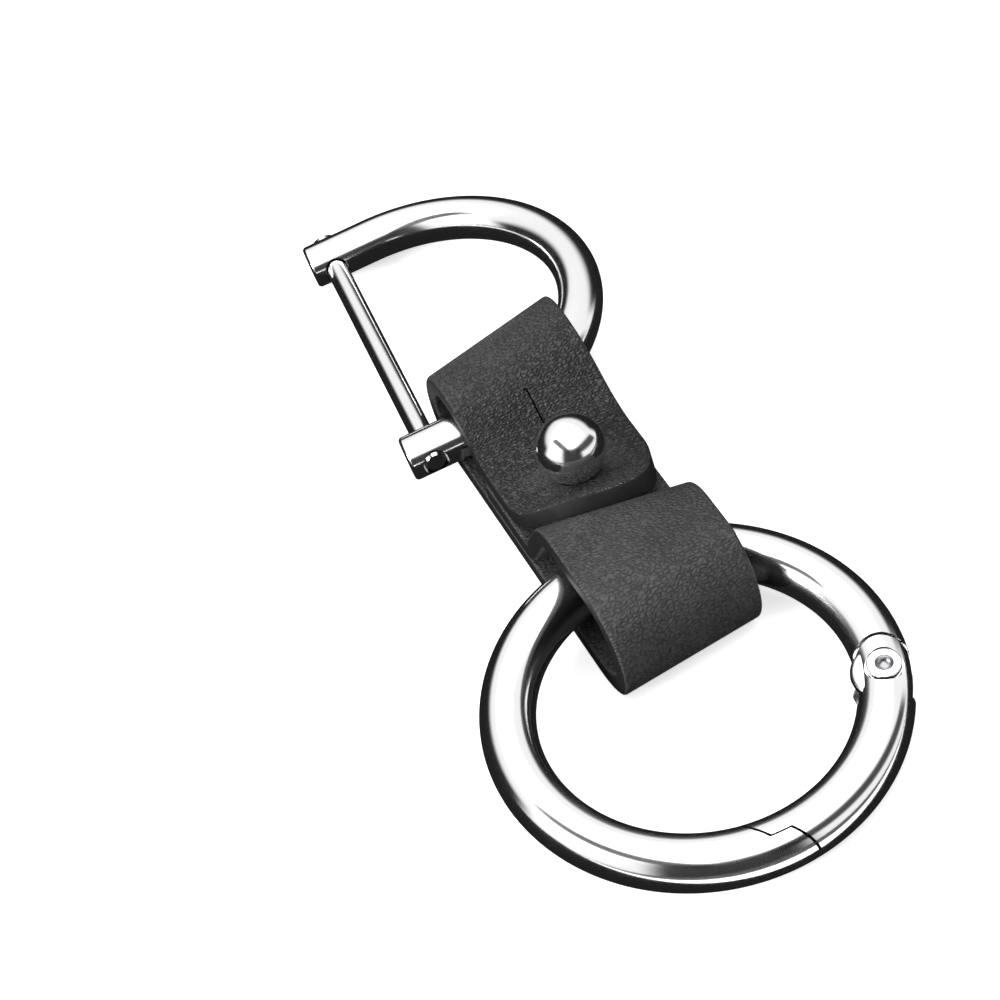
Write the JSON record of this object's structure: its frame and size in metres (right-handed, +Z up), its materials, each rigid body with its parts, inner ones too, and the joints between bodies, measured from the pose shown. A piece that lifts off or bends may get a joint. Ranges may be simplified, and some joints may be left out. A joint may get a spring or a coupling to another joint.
{
  "type": "leather keychain",
  "caption": "Folded leather key strap snapped on a ball stud, looping a screw-pin shackle and a spring gate ring.",
  "frame": {"origin": "centre of the whole part's box, on the surface that it lies on", "axes": "+X along the strap from the shackle to the spring gate ring, +Z up, with the ball stud on top"},
  "size_m": [0.086, 0.034, 0.0117],
  "materials": {
    "black_leather": "black pebble-grain leather, smoother over the folds, painted edges",
    "polished_chrome": "polished chrome plate",
    "satin_steel": "plain steel, lightly turned"
  },
  "bodies": {
    "root": {"strap": "black_leather", "ball_stud": "polished_chrome", "stud_screw": "polished_chrome"},
    "tab": {"strap_tab": "black_leather"},
    "shackle": {"shackle_body": "polished_chrome"},
    "pin": {"shackle_pin": "polished_chrome"},
    "ring": {"ring_body": "polished_chrome", "gate_rivet": "satin_steel"},
    "gate": {"ring_gate": "polished_chrome", "gate_plunger": "satin_steel", "gate_spring": "satin_steel"}
  },
  "joints": [
    {"name": "tab_lift", "type": "hinge", "parent": "root", "child": "tab", "pos_m": [-0.01086, 0.0024, 0.00956], "axis": [0, -1, 0], "range_deg": [0, 75], "deforming": ["strap_tab"]},
    {"name": "shackle_swing", "type": "hinge", "parent": "root", "child": "shackle", "pos_m": [-0.01182, 0.0026, 0.005], "axis": [-0.2535, 0.9673, 0], "range_deg": [-60, 80]},
    {"name": "pin_slide", "type": "slide", "parent": "shackle", "child": "pin", "axis": [-0.9938, 0.0958, -0.0555], "range_m": [0, 0.03]},
    {"name": "ring_swing", "type": "hinge", "parent": "root", "child": "ring", "pos_m": [0.01231, 0.00254, 0.0052], "axis": [-0.182, -0.9833, 0], "range_deg": [-85, 90]},
    {"name": "gate_swing", "type": "hinge", "parent": "ring", "child": "gate", "pos_m": [0.03202, 0.01348, 0.00302], "axis": [-0.0881, 0, -0.9961], "range_deg": [0, 35], "stiffness_Nm_per_rad": 0.004, "springref_deg": -20.05}
  ]
}
